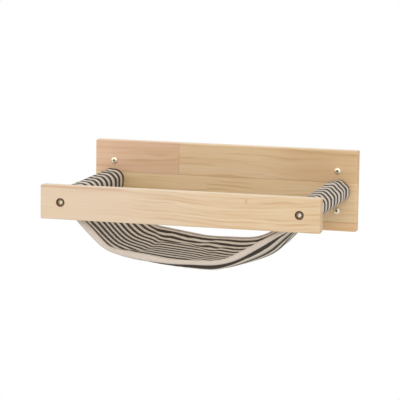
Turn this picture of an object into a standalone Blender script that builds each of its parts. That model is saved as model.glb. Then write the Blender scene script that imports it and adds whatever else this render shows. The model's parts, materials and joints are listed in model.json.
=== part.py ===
"""Wall perch: a back board and a front rail, joined by two arms, with a padded bed of striped
cloth slung between the arms.

Metres, +Z up. The origin is the middle of the back board's wall face. +X runs to the right, as
seen from the room, and -Y runs from the wall into the room.
"""

import math

import bmesh
import bpy
import numpy as np

# Overall size
WIDTH = 0.450
REACH = 0.300

# Boards
BOARD = 0.018
BACK_HEIGHT = 0.134
RAIL_HEIGHT = 0.054
BOARD_EDGE = 0.002

# Arms: square bars with rounded edges
ARM_X = 0.192
ARM_SIZE = 0.032
ARM_EDGE = 0.012
ARM_END_EDGE = 0.0008

# Free space between pieces that touch
GAP = 0.0003

# Bolts through the rail, with their washers and the threaded inserts that they screw into
COUNTERBORE = 0.014
COUNTERBORE_DEPTH = 0.0076
BOLT = 0.006
BOLT_LENGTH = 0.035
BOLT_HOLE = 0.0068
BOLT_HEAD = 0.0105
BOLT_HEAD_HEIGHT = 0.004
BOLT_HEAD_EDGE = 0.0005
BOLT_SOCKET = 0.005
BOLT_SOCKET_DEPTH = 0.0024
BOLT_TIP_DEPTH = 0.026
WASHER = 0.0126
WASHER_THICKNESS = 0.0012
INSERT = 0.010
INSERT_FLANGE = 0.012
INSERT_FLANGE_THICKNESS = 0.0014
INSERT_LENGTH = 0.015

# Countersunk screws from the wall side of the back board into the arms
ARM_SCREW = 0.0048
ARM_SCREW_HEAD = 0.0094
ARM_SCREW_LENGTH = 0.060
ARM_SCREW_RIM = 0.0004
ARM_SCREW_DEPTH = 0.0005
ARM_SCREW_OFFSET = 0.009
ARM_SCREW_TURNS = (12.0, 55.0, 31.0, 78.0)

# Screws through the back board into the wall
WALL_SCREW = 0.0045
WALL_SCREW_HOLE = 0.0052
WALL_SCREW_HEAD = 0.011
WALL_SCREW_HEAD_HEIGHT = 0.0030
WALL_SCREW_RIM = 0.0008
WALL_SCREW_LENGTH = 0.050
WALL_SCREW_OFFSET = 0.033
WALL_SCREW_TURNS = (40.0, 8.0, 63.0, 17.0)

# Shared by both kinds of screw: the point, and the cross recess as shares of the head's radius
SCREW_POINT = 0.007
RECESS_REACH = 0.56
RECESS_WIDTH = 0.17
RECESS_FLOOR = 0.45
RECESS_DEPTH = 0.0018

# Cloth bed
CLOTH = 0.001
SLEEVE_EASE = 0.0004
SLEEVE_END = 0.004
SEAM_OPENING = 15.0
SEAM_TAIL = 0.3
WADDING_LEFT_EDGE = 0.0065
WADDING_RIGHT_EDGE = 0.0010
WADDING_MIDDLE = 0.0080
WADDING_TAPER = 0.10
EDGE_DRAW = 0.006
BINDING_WRAP = 0.010
BINDING_UNDERSIDE = 0.004
BINDING_FOLD = 0.0012
BINDING_EASE = 0.0006
BED_STEPS = 26
FRONT_HALF_ROWS = (0.16, 0.33, 0.5)
CURVE_SAMPLES = 40
ARM_CORNER_STEPS = 4

# The bed's middle surface in an X-Z section, as the control points of a smooth curve that runs
# from the left arm's seam to the right arm's seam. The two free edges are stretched, and halfway
# between them the bed hangs lower.
SEAM_DROP = 0.0200
LEFT_SEAM = (-0.1785, -SEAM_DROP)
RIGHT_SEAM = (0.1815, -SEAM_DROP)
FREE_EDGE = (
    LEFT_SEAM,
    (-0.166, -0.031),
    (-0.146, -0.051),
    (-0.129, -0.068),
    (-0.116, -0.076),
    (-0.092, -0.080),
    (-0.058, -0.084),
    (-0.020, -0.088),
    (0.015, -0.090),
    (0.045, -0.088),
    (0.074, -0.079),
    (0.105, -0.062),
    (0.136, -0.045),
    (0.160, -0.032),
    RIGHT_SEAM,
)
BELLY = (
    LEFT_SEAM,
    (-0.171, -0.038),
    (-0.151, -0.059),
    (-0.131, -0.078),
    (-0.116, -0.086),
    (-0.092, -0.091),
    (-0.058, -0.096),
    (-0.020, -0.102),
    (0.015, -0.106),
    (0.046, -0.105),
    (0.076, -0.098),
    (0.106, -0.087),
    (0.134, -0.072),
    (0.1455, -0.046),
    RIGHT_SEAM,
)
BELLY_POWER = 3.0
WADDING_CROWN_POWER = 4.0

ROUND_STEPS = 24
HOLE_STEPS = 20
DOME_STEPS = 5
OVERCUT = 0.001
WELD = 1e-6
SHARP_ANGLE = math.radians(35)

TOWARDS_ROOM = (math.radians(90), 0.0, 0.0)
TOWARDS_WALL = (math.radians(-90), 0.0, 0.0)

RAIL_BACK = -REACH + BOARD
ARM_FRONT = RAIL_BACK + GAP
ARM_REAR = -BOARD - GAP


def clear_scene():
    for old in list(bpy.data.objects):
        bpy.data.objects.remove(old, do_unlink=True)


def material(name, colour, roughness, metallic=0.0):
    made = bpy.data.materials.new(name)
    made.use_nodes = True
    shader = made.node_tree.nodes["Principled BSDF"]
    shader.inputs["Base Color"].default_value = (*colour, 1.0)
    shader.inputs["Roughness"].default_value = roughness
    shader.inputs["Metallic"].default_value = metallic
    return made


def mesh_of(bm, name):
    """The bmesh as a mesh with its faces pointing out, shaded smooth except at sharp edges."""
    bmesh.ops.recalc_face_normals(bm, faces=bm.faces)
    mesh = bpy.data.meshes.new(name)
    bm.to_mesh(mesh)
    bm.free()
    mesh.shade_smooth()
    mesh.set_sharp_from_angle(angle=SHARP_ANGLE)
    return mesh


def place(name, mesh, finish=None, location=(0.0, 0.0, 0.0), rotation=(0.0, 0.0, 0.0)):
    """Adds an object. A copy of a piece shares the mesh, and with it the material."""
    thing = bpy.data.objects.new(name, mesh)
    thing.location = location
    thing.rotation_euler = rotation
    if finish and not mesh.materials:
        mesh.materials.append(finish)
    bpy.context.scene.collection.objects.link(thing)
    return thing


def cutter(name, mesh, location=(0.0, 0.0, 0.0), rotation=(0.0, 0.0, 0.0)):
    helper = place(name, mesh, None, location, rotation)
    helper.hide_render = True
    helper.display_type = "WIRE"
    return helper


def cut(target, tool):
    modifier = target.modifiers.new("cut " + tool.name, "BOOLEAN")
    modifier.operation = "DIFFERENCE"
    modifier.object = tool


def even_shading(target):
    """Keeps flat faces looking flat beside rounded edges and drilled holes."""
    modifier = target.modifiers.new("even shading", "WEIGHTED_NORMAL")
    modifier.keep_sharp = True


def round_edges(target, width, segments, angle=30.0):
    modifier = target.modifiers.new("round edges", "BEVEL")
    modifier.width = width
    modifier.segments = segments
    modifier.limit_method = "ANGLE"
    modifier.angle_limit = math.radians(angle)


def box_mesh(name, size):
    bm = bmesh.new()
    bmesh.ops.create_cube(bm, size=1.0)
    bmesh.ops.scale(bm, vec=size, verts=bm.verts)
    return mesh_of(bm, name)


def turned_mesh(name, outline, steps=ROUND_STEPS, ring=False):
    """Spins an outline of (radius, height) points round Z. A ring's outline is a closed loop."""
    bm = bmesh.new()
    points = [bm.verts.new((radius, 0.0, height)) for radius, height in outline]
    ends = points[1:] + points[:1] if ring else points[1:]
    lines = [bm.edges.new(pair) for pair in zip(points, ends)]
    bmesh.ops.spin(
        bm,
        geom=points + lines,
        cent=(0.0, 0.0, 0.0),
        axis=(0.0, 0.0, 1.0),
        angle=math.tau,
        steps=steps,
        use_merge=True,
    )
    bmesh.ops.remove_doubles(bm, verts=bm.verts, dist=WELD)
    return mesh_of(bm, name)


def cross_recess_mesh(name, head_radius, top, depth):
    """A cross that narrows downwards, as a screwdriver's tip does."""
    reach = RECESS_REACH * head_radius
    half = RECESS_WIDTH * head_radius
    corners = []
    for quarter in range(4):
        turn = quarter * math.pi / 2
        for x, y in ((reach, -half), (reach, half), (half, half)):
            corners.append(
                (x * math.cos(turn) - y * math.sin(turn), x * math.sin(turn) + y * math.cos(turn))
            )
    bm = bmesh.new()
    upper = [bm.verts.new((x, y, top + OVERCUT)) for x, y in corners]
    lower = [bm.verts.new((x * RECESS_FLOOR, y * RECESS_FLOOR, top - depth)) for x, y in corners]
    bm.faces.new(upper)
    bm.faces.new(lower)
    for near, far in zip(range(12), [*range(1, 12), 0]):
        bm.faces.new((upper[near], upper[far], lower[far], lower[near]))
    return mesh_of(bm, name)


def finished_mesh(name, mesh, tool_mesh, finish):
    """The mesh with the tool's shape cut from it, for pieces that are made more than once."""
    blank = cutter(name + " blank", mesh)
    tool = cutter(name + " tool", tool_mesh)
    cut(blank, tool)
    bpy.context.view_layer.update()
    graph = bpy.context.evaluated_depsgraph_get()
    made = bpy.data.meshes.new_from_object(blank.evaluated_get(graph))
    made.name = name
    made.materials.clear()
    made.materials.append(finish)
    made.shade_smooth()
    made.set_sharp_from_angle(angle=SHARP_ANGLE)
    for helper in (blank, tool):
        bpy.data.objects.remove(helper)
    return made


def rounded_square(half, corner, steps):
    """Four corners of (x, z) points, each from its first side to its next: lower right, upper
    right, upper left, lower left, as a walk up the right side and back along the top."""
    middle = half - corner
    corners = []
    for quarter, (sx, sz) in enumerate(((1, -1), (1, 1), (-1, 1), (-1, -1))):
        start = math.radians(-90 + 90 * quarter)
        arc = []
        for step in range(steps + 1):
            angle = start + math.pi / 2 * step / steps
            arc.append((sx * middle + corner * math.cos(angle), sz * middle + corner * math.sin(angle)))
        corners.append(arc)
    return corners


def make_back_board(wood):
    board = place(
        "back_board", box_mesh("back_board", (WIDTH, BOARD, BACK_HEIGHT)), wood, (0.0, -BOARD / 2, 0.0)
    )
    round_edges(board, BOARD_EDGE, 3)
    hole = WALL_SCREW_HOLE / 2
    straight = turned_mesh(
        "wall_screw_hole",
        [(0.0, OVERCUT), (hole, OVERCUT), (hole, -BOARD - OVERCUT), (0.0, -BOARD - OVERCUT)],
        HOLE_STEPS,
    )
    narrow = ARM_SCREW / 2 + GAP
    wide = ARM_SCREW_HEAD / 2 + ARM_SCREW_DEPTH + ARM_SCREW_RIM + 2 * GAP
    countersunk = turned_mesh(
        "arm_screw_hole",
        [
            (0.0, OVERCUT),
            (wide + OVERCUT, OVERCUT),
            (narrow, narrow - wide),
            (narrow, -BOARD - OVERCUT),
            (0.0, -BOARD - OVERCUT),
        ],
        HOLE_STEPS,
    )
    for side, x in (("left", -ARM_X), ("right", ARM_X)):
        for level, sign in (("upper", 1), ("lower", -1)):
            mark = side + " " + level
            wall_hole = (x, 0.0, sign * WALL_SCREW_OFFSET)
            arm_hole = (x, 0.0, sign * ARM_SCREW_OFFSET)
            cut(board, cutter("wall screw hole " + mark, straight, wall_hole, TOWARDS_WALL))
            cut(board, cutter("arm screw hole " + mark, countersunk, arm_hole, TOWARDS_WALL))
    even_shading(board)


def make_front_rail(wood):
    rail = place(
        "front_rail",
        box_mesh("front_rail", (WIDTH, BOARD, RAIL_HEIGHT)),
        wood,
        (0.0, -REACH + BOARD / 2, 0.0),
    )
    round_edges(rail, BOARD_EDGE, 3)
    sink = COUNTERBORE / 2
    hole = BOLT_HOLE / 2
    stepped = turned_mesh(
        "rail_bolt_hole",
        [
            (0.0, OVERCUT),
            (sink, OVERCUT),
            (sink, -COUNTERBORE_DEPTH),
            (hole, -COUNTERBORE_DEPTH),
            (hole, -BOARD - OVERCUT),
            (0.0, -BOARD - OVERCUT),
        ],
        ROUND_STEPS,
    )
    for side, x in (("left", -ARM_X), ("right", ARM_X)):
        cut(rail, cutter("rail bolt hole " + side, stepped, (x, -REACH, 0.0), TOWARDS_ROOM))
    even_shading(rail)


def arm_mesh():
    section = sum(rounded_square(ARM_SIZE / 2, ARM_EDGE, ARM_CORNER_STEPS + 1), [])
    bm = bmesh.new()
    face = bm.faces.new([bm.verts.new((x, ARM_FRONT, z)) for x, z in section])
    grown = bmesh.ops.extrude_face_region(bm, geom=[face])["geom"]
    moved = [part for part in grown if isinstance(part, bmesh.types.BMVert)]
    bmesh.ops.translate(bm, vec=(0.0, ARM_REAR - ARM_FRONT, 0.0), verts=moved)
    return mesh_of(bm, "arm")


def make_arms(wood):
    insert = INSERT / 2 + GAP
    flange = INSERT_FLANGE / 2 + GAP
    flange_depth = INSERT_FLANGE_THICKNESS + 2 * GAP
    insert_depth = INSERT_LENGTH + 2 * GAP
    tip = BOLT_HOLE / 2
    front_hole = turned_mesh(
        "insert_hole",
        [
            (0.0, OVERCUT),
            (flange, OVERCUT),
            (flange, -flange_depth),
            (insert, -flange_depth),
            (insert, -insert_depth),
            (tip, -insert_depth),
            (tip, -BOLT_TIP_DEPTH),
            (0.0, -BOLT_TIP_DEPTH),
        ],
        HOLE_STEPS,
    )
    pilot = ARM_SCREW / 2 + GAP
    pilot_depth = ARM_SCREW_LENGTH - BOARD + 2 * OVERCUT
    pilot_hole = turned_mesh(
        "pilot_hole",
        [(0.0, OVERCUT), (pilot, OVERCUT), (pilot, -pilot_depth), (0.0, -pilot_depth)],
        HOLE_STEPS,
    )
    for side, x in (("left", -ARM_X), ("right", ARM_X)):
        arm = place(side + "_arm", arm_mesh(), wood, (x, 0.0, 0.0))
        round_edges(arm, ARM_END_EDGE, 1, 60.0)
        cut(arm, cutter("insert hole " + side, front_hole, (x, ARM_FRONT, 0.0), TOWARDS_ROOM))
        for level, z in (("upper", ARM_SCREW_OFFSET), ("lower", -ARM_SCREW_OFFSET)):
            mark = "pilot hole " + side + " " + level
            cut(arm, cutter(mark, pilot_hole, (x, ARM_REAR, z), TOWARDS_WALL))
        even_shading(arm)


def rail_bolt_mesh(steel):
    head = BOLT_HEAD / 2
    shank = BOLT / 2
    top = BOLT_HEAD_HEIGHT
    blank = turned_mesh(
        "rail_bolt_blank",
        [
            (0.0, top),
            (head - BOLT_HEAD_EDGE, top),
            (head, top - BOLT_HEAD_EDGE),
            (head, 0.0),
            (shank, 0.0),
            (shank, -BOLT_LENGTH + BOLT_HEAD_EDGE),
            (shank - BOLT_HEAD_EDGE, -BOLT_LENGTH),
            (0.0, -BOLT_LENGTH),
        ],
    )
    bm = bmesh.new()
    across_corners = BOLT_SOCKET / math.cos(math.radians(30))
    socket_height = BOLT_SOCKET_DEPTH + OVERCUT
    bmesh.ops.create_cone(
        bm,
        cap_ends=True,
        segments=6,
        radius1=across_corners / 2,
        radius2=across_corners / 2,
        depth=socket_height,
    )
    middle = top - BOLT_SOCKET_DEPTH + socket_height / 2
    bmesh.ops.translate(bm, vec=(0.0, 0.0, middle), verts=bm.verts)
    return finished_mesh("rail_bolt", blank, mesh_of(bm, "rail_bolt_socket"), steel)


def make_rail_fasteners(steel, brass):
    """Bolt, washer and insert in line, from the counterbore's floor back into the arm."""
    washer_back = -REACH + COUNTERBORE_DEPTH - GAP
    head_back = washer_back - WASHER_THICKNESS - GAP
    insert_front = ARM_FRONT + GAP
    bore = BOLT / 2 + GAP
    bolt = rail_bolt_mesh(steel)
    rim = WASHER / 2
    washer = turned_mesh(
        "rail_washer",
        [(bore, 0.0), (rim, 0.0), (rim, WASHER_THICKNESS), (bore, WASHER_THICKNESS)],
        ring=True,
    )
    flange = INSERT_FLANGE / 2
    body = INSERT / 2
    insert = turned_mesh(
        "thread_insert",
        [
            (bore, -INSERT_LENGTH),
            (body, -INSERT_LENGTH),
            (body, -INSERT_FLANGE_THICKNESS),
            (flange, -INSERT_FLANGE_THICKNESS),
            (flange, 0.0),
            (bore, 0.0),
        ],
        ring=True,
    )
    for side, x in (("left", -ARM_X), ("right", ARM_X)):
        place("rail_bolt_" + side, bolt, steel, (x, head_back, 0.0), TOWARDS_ROOM)
        place("rail_washer_" + side, washer, steel, (x, washer_back, 0.0), TOWARDS_ROOM)
        place("thread_insert_" + side, insert, brass, (x, insert_front, 0.0), TOWARDS_ROOM)


def countersunk_screw_mesh(steel):
    head = ARM_SCREW_HEAD / 2
    shank = ARM_SCREW / 2
    blank = turned_mesh(
        "arm_screw_blank",
        [
            (0.0, 0.0),
            (head, 0.0),
            (head, -ARM_SCREW_RIM),
            (shank, -ARM_SCREW_RIM - (head - shank)),
            (shank, -ARM_SCREW_LENGTH + SCREW_POINT),
            (0.0, -ARM_SCREW_LENGTH),
        ],
    )
    recess = cross_recess_mesh("arm_screw_recess", head, 0.0, RECESS_DEPTH)
    return finished_mesh("arm_screw", blank, recess, steel)


def pan_screw_mesh(steel):
    head = WALL_SCREW_HEAD / 2
    shank = WALL_SCREW / 2
    dome = WALL_SCREW_HEAD_HEIGHT - WALL_SCREW_RIM
    outline = []
    for step in range(DOME_STEPS + 1):
        angle = math.pi / 2 * step / DOME_STEPS
        outline.append((head * math.sin(angle), WALL_SCREW_RIM + dome * math.cos(angle)))
    outline += [
        (head, 0.0),
        (shank, 0.0),
        (shank, -WALL_SCREW_LENGTH + SCREW_POINT),
        (0.0, -WALL_SCREW_LENGTH),
    ]
    blank = turned_mesh("wall_screw_blank", outline)
    recess = cross_recess_mesh("wall_screw_recess", head, WALL_SCREW_HEAD_HEIGHT, RECESS_DEPTH)
    return finished_mesh("wall_screw", blank, recess, steel)


def make_screws(steel, gilt):
    arm_screw = countersunk_screw_mesh(steel)
    wall_screw = pan_screw_mesh(gilt)
    spots = []
    for side, x in (("left", -ARM_X), ("right", ARM_X)):
        for level, sign in (("upper", 1), ("lower", -1)):
            spots.append((side + "_" + level, x, sign))
    for (mark, x, sign), arm_turn, wall_turn in zip(spots, ARM_SCREW_TURNS, WALL_SCREW_TURNS):
        spot = (x, -ARM_SCREW_DEPTH, sign * ARM_SCREW_OFFSET)
        turn = (TOWARDS_WALL[0], math.radians(arm_turn), 0.0)
        place("arm_screw_" + mark, arm_screw, steel, spot, turn)
        spot = (x, -BOARD - GAP, sign * WALL_SCREW_OFFSET)
        turn = (TOWARDS_ROOM[0], -math.radians(wall_turn), 0.0)
        place("wall_screw_" + mark, wall_screw, gilt, spot, turn)


def smooth_curve(control, count):
    """Points along a uniform cubic B-spline that starts and ends at its outer control points,
    the same distance apart."""
    control = np.array([control[0]] * 2 + list(control) + [control[-1]] * 2)
    spans = len(control) - 3
    places = np.linspace(0.0, spans - WELD, CURVE_SAMPLES * spans)
    first = places.astype(int)
    f = (places - first)[:, None]
    curve = (
        control[first] * (1 - f) ** 3
        + control[first + 1] * (3 * f**3 - 6 * f**2 + 4)
        + control[first + 2] * (-3 * f**3 + 3 * f**2 + 3 * f + 1)
        + control[first + 3] * f**3
    ) / 6
    along = np.concatenate([[0.0], np.cumsum(np.linalg.norm(np.diff(curve, axis=0), axis=1))])
    even = np.linspace(0.0, along[-1], count)
    return np.stack([np.interp(even, along, curve[:, axis]) for axis in (0, 1)], axis=-1)


def belly_share(row):
    """How much of its full depth the belly has at this share of the way from front to rear."""
    return 1.0 - abs(2.0 * row - 1.0) ** BELLY_POWER


def bed_rows():
    """Shares of the way from the front edge to the rear edge. The second row and the last but
    one lie where the bindings' wraps end."""
    wrap = BINDING_WRAP / (REACH - 2 * BOARD - 2 * SLEEVE_END)
    front = [0.0, wrap, *FRONT_HALF_ROWS]
    return front + [1.0 - row for row in reversed(front[:-1])]


def bed_y(row, step):
    """The depth of a bed point. The free edges are drawn in between the arms."""
    draw = EDGE_DRAW * math.sin(math.pi * step / BED_STEPS)
    front = RAIL_BACK + SLEEVE_END + draw
    rear = -BOARD - SLEEVE_END - draw
    return front + (rear - front) * row


def bed_section(row):
    """Middle points of the bed and their upward normals in one X-Z section."""
    share = belly_share(row)
    control = np.array(FREE_EDGE) * (1 - share) + np.array(BELLY) * share
    points = smooth_curve(control, BED_STEPS + 1)
    along = np.gradient(points, axis=0)
    along /= np.linalg.norm(along, axis=1)[:, None]
    return points, np.stack([-along[:, 1], along[:, 0]], axis=-1)


def half_wadding(row, step):
    """Half of the wadding's thickness: pressed thin at the seams and along the free edges, most
    at the right where the edges are stretched, and full between."""
    from_seam = min(step, BED_STEPS - step) / BED_STEPS
    rise = min(from_seam / WADDING_TAPER, 1.0)
    crown = 1.0 - abs(2.0 * row - 1.0) ** WADDING_CROWN_POWER
    edge = WADDING_LEFT_EDGE + (WADDING_RIGHT_EDGE - WADDING_LEFT_EDGE) * step / BED_STEPS
    full = edge + (WADDING_MIDDLE - edge) * crown
    return full / 2 * rise * (2.0 - rise)


def layer_point(row, step, middle, normal, side, depth):
    """A point this far outside the wadding: side is 1 above it and -1 below it."""
    x, z = middle + side * (half_wadding(row, step) + depth) * normal
    return (x, bed_y(row, step), z)


def bed_layer(side, depth, rows=None, first=0, last=BED_STEPS):
    """A grid of points: for each step across the bed, one point for each row."""
    rows = bed_rows() if rows is None else rows
    sections = [bed_section(row) for row in rows]
    return [
        [
            layer_point(row, step, points[step], normals[step], side, depth)
            for row, (points, normals) in zip(rows, sections)
        ]
        for step in range(first, last + 1)
    ]


def split_quad(bm, a, b, c, d):
    """Two triangles, always split along the diagonal that climbs in Y from the quad's first
    side, so that layers that lie on each other bend along the same lines."""
    if d.co.y >= a.co.y:
        bm.faces.new((a, b, c))
        bm.faces.new((a, c, d))
    else:
        bm.faces.new((a, b, d))
        bm.faces.new((b, c, d))


def sheet_solid(name, one_side, other_side, finish):
    """A closed solid between two grids of points of the same size."""
    bm = bmesh.new()
    one = [[bm.verts.new(point) for point in line] for line in one_side]
    other = [[bm.verts.new(point) for point in line] for line in other_side]
    lines = len(one)
    rows = len(one[0])
    for i in range(lines - 1):
        for j in range(rows - 1):
            for side in (one, other):
                split_quad(bm, side[i][j], side[i + 1][j], side[i + 1][j + 1], side[i][j + 1])
        for j in (0, rows - 1):
            bm.faces.new((one[i][j], one[i + 1][j], other[i + 1][j], other[i][j]))
    for j in range(rows - 1):
        for i in (0, lines - 1):
            bm.faces.new((one[i][j], one[i][j + 1], other[i][j + 1], other[i][j]))
    place(name, mesh_of(bm, name), finish)


def sleeve_line(arm_x, seam):
    """The cloth's middle line round an arm, in an X-Z section: anticlockwise from one side of
    the seam to the other, with a short tail that points at the seam at the cut end."""
    half = ARM_SIZE / 2 + SLEEVE_EASE + CLOTH / 2
    corner = ARM_EDGE + SLEEVE_EASE + CLOTH / 2
    around = sum(rounded_square(half, corner, ARM_CORNER_STEPS), [])
    seam_x = seam[0] - arm_x
    seam_angle = math.atan2(seam[1], seam_x)
    turns = []
    for x, z in around:
        turn = (math.atan2(z, x) - seam_angle) % math.tau
        if math.radians(SEAM_OPENING) < turn < math.tau - math.radians(SEAM_OPENING):
            turns.append((turn, x, z))
    line = [(x, z) for _, x, z in sorted(turns)]
    cut_end = line[0] if arm_x < 0 else line[-1]
    tail = tuple(a + SEAM_TAIL * (b - a) for a, b in zip(cut_end, (seam_x, seam[1])))
    line = [tail, *line] if arm_x < 0 else [*line, tail]
    return np.array([(arm_x + x, z) for x, z in line])


def sleeve_grid(line, offset):
    """Rows of points along a sleeve, moved off its middle line by offset, towards the arm."""
    along = np.gradient(line, axis=0)
    along /= np.linalg.norm(along, axis=1)[:, None]
    normal = np.stack([-along[:, 1], along[:, 0]], axis=-1)
    moved = line + offset * normal
    return [[(x, bed_y(row, 0), z) for row in bed_rows()] for x, z in moved]


def make_cover(cloth):
    """One striped cloth, round the left arm, under the bed and round the right arm."""
    left = sleeve_line(-ARM_X, LEFT_SEAM)
    right = sleeve_line(ARM_X, RIGHT_SEAM)
    sides = []
    for offset, depth in ((CLOTH / 2, GAP), (-CLOTH / 2, GAP + CLOTH)):
        bed = bed_layer(-1, depth)
        sides.append(sleeve_grid(left, offset) + bed + sleeve_grid(right, offset))
    sheet_solid("sling_cover", sides[0], sides[1], cloth)


def make_bed_layers(cloth, wadding):
    sheet_solid("sling_lining", bed_layer(1, GAP), bed_layer(1, GAP + CLOTH), cloth)
    inner_steps = {"first": 1, "last": BED_STEPS - 1}
    upper = bed_layer(1, 0.0, **inner_steps)
    lower = bed_layer(-1, 0.0, **inner_steps)
    sheet_solid("sling_wadding", upper, lower, wadding)


def make_binding(name, edge_row, wrap_row, outwards, tape):
    """Tape folded over a free edge: wide along the lining and narrow along the cover."""
    near = GAP + CLOTH + BINDING_EASE
    grids = []
    for depth, reach in ((near, BINDING_EASE), (near + CLOTH, BINDING_EASE + CLOTH)):
        sides = [bed_layer(side, depth, [wrap_row, edge_row], 1, BED_STEPS - 1) for side in (1, -1)]
        grid = []
        for (over_wrap, over_edge), (under_wrap, under_edge) in zip(*sides):
            upper = np.array(over_edge) + (0.0, outwards * reach, 0.0)
            lower = np.array(under_edge) + (0.0, outwards * reach, 0.0)
            fold = (upper + lower) / 2 + (0.0, outwards * BINDING_FOLD, 0.0)
            way_back = np.array(under_wrap) - np.array(under_edge)
            under_end = under_edge + way_back * BINDING_UNDERSIDE / BINDING_WRAP
            grid.append([over_wrap, upper, fold, lower, under_end])
        grids.append(grid)
    sheet_solid(name, grids[0], grids[1], tape)


def make_bed():
    stripes = material("striped cloth", (0.55, 0.50, 0.45), 0.9)
    inside = material("lining cloth", (0.58, 0.53, 0.48), 0.9)
    wadding = material("wadding", (0.85, 0.84, 0.80), 1.0)
    tape = material("binding tape", (0.72, 0.62, 0.50), 0.9)
    make_cover(stripes)
    make_bed_layers(inside, wadding)
    rows = bed_rows()
    make_binding("binding_front", rows[0], rows[1], -1, tape)
    make_binding("binding_rear", rows[-1], rows[-2], 1, tape)


def main():
    clear_scene()
    board_wood = material("board wood", (0.70, 0.51, 0.30), 0.55)
    rail_wood = material("rail wood", (0.77, 0.60, 0.42), 0.55)
    arm_wood = material("arm wood", (0.73, 0.55, 0.35), 0.6)
    steel = material("zinc plated steel", (0.50, 0.48, 0.45), 0.35, 1.0)
    gilt = material("yellow zinc plated steel", (0.80, 0.68, 0.42), 0.35, 1.0)
    brass = material("brass", (0.75, 0.58, 0.30), 0.3, 1.0)
    make_back_board(board_wood)
    make_front_rail(rail_wood)
    make_arms(arm_wood)
    make_rail_fasteners(steel, brass)
    make_screws(steel, gilt)
    make_bed()


main()
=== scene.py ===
"""Looks of the wall perch: finishes for its boards and fasteners, and the sewn, padded bed of
striped cloth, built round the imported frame.

Metres, +Z up. The origin is the middle of the back board's wall face. +X runs to the right, as
seen from the room, and -Y runs from the wall into the room.
"""

import json
import math

import bpy
import numpy as np
from mathutils import Matrix, Vector

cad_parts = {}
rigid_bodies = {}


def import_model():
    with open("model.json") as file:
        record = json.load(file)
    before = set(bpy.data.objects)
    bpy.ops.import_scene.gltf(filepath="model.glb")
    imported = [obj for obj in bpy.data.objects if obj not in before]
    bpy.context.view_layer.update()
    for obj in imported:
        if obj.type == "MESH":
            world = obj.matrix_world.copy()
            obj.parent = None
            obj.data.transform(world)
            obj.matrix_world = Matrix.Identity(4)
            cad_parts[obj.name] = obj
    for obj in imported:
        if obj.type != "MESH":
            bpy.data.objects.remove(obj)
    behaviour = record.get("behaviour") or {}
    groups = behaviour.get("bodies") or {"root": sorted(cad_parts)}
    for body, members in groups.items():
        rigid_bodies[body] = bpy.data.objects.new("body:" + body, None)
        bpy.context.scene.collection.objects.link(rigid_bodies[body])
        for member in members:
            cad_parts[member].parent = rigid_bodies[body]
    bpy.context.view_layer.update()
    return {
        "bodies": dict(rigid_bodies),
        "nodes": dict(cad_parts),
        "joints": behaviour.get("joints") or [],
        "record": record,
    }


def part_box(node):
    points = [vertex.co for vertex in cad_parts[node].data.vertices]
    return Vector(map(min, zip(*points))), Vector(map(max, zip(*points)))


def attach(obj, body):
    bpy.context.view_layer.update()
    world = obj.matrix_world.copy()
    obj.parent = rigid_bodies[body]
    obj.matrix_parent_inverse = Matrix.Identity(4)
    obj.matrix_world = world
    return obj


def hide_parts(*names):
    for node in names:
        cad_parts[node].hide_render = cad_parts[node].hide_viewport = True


# Camera, at the photograph's angle. The picture is square.
AZIMUTH = math.radians(15.21)
ELEVATION = math.radians(8.38)
ROLL = math.radians(0.77)
TARGET = Vector((-0.0057, -0.15, -0.0071))
DISTANCE = 3.57
LENS = 199.4
SENSOR = 36.0

# Stage
FLOOR_DROP = 0.9
FLOOR_SIZE = 14.0
FLOOR_FADE = (0.7, 1.5)
WORLD_LEVEL = 0.84
LAMP_SIZE = 1.8
LAMP_AIM = (0.0, -0.15, 0.0)
KEY_PLACE = (0.9, -2.6, 1.5)
KEY_POWER = 21.5
FILL_PLACE = (-1.9, -1.6, 0.9)
FILL_POWER = 5.0

# Arms, as the CAD has them
ARM_X = 0.192
ARM_SIZE = 0.032
ARM_EDGE = 0.012

# Wall screws' heads: their height from the middle, their dome and their cross recess, where shade is
# painted
WALL_SCREW_OFFSET = 0.033
SCREW_HEAD = 0.0055
SCREW_DOME = 0.0022
SCREW_RIM_Y = -0.0191
RECESS_DEPTH = 0.0034
RECESS_RADIUS = 0.0037

# Sleeves: how loosely the cloth lies round the arms, and over what distances
SLEEVE_STEPS = 48
CORNER_STEPS = 8
SLEEVE_EASE = 0.0005
SLEEVE_END = 0.004
SLEEVE_CALM = 0.015
SLEEVE_SIDE = 0.012
SLEEVE_CORNER = 0.006
SLEEVE_CORNER_PULL = 0.85
SLEEVE_BAG = 0.003
SLEEVE_BAG_REACH = 0.15
SLEEVE_SAG = 0.002
SLEEVE_SAG_PLACE = 0.016
HEM_WIDTH = 0.008
HEM_RISE = 0.002
HEM_LIFT = 0.0008
WRINKLES = 22
WRINKLE_HEIGHT = 0.0012

# Bed: its width from front to rear, its layers and the gap between them, and its seams' places
BED_WIDTH = 0.256
CLOTH = 0.001
FREE = 0.0003
SEAM_OPENING = math.radians(15.0)
SEAM_TAIL = 0.0018
SEAM_DROP = 0.02
LEFT_SEAM = (-0.1785, -SEAM_DROP)
RIGHT_SEAM = (0.1815, -SEAM_DROP)
WADDING_MIDDLE = 0.008
WADDING_TAPER = 0.1
WADDING_CROWN_POWER = 4
WADDING_INSET = (4, 2)
EDGE_DRAW = 0.006

# Cloth simulation that fills the bed: the held margins of its grid, how far each face may swell,
# and the settings. A shrinkage below 0 makes the cloth grow.
HELD_LINES = 2
HELD_ROWS = 3
TOP_SWELL = 0.0025
BOTTOM_SWELL = 0.0012
FILL_FRAMES = 20
FILL_SETTINGS = {
    "quality": 6,
    "mass": 0.2,
    "tension_stiffness": 12.0,
    "compression_stiffness": 12.0,
    "shear_stiffness": 6.0,
    "bending_stiffness": 0.4,
    "shrink_min": -0.018,
    "use_pressure": True,
    "uniform_pressure_force": 2.2,
}

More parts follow.
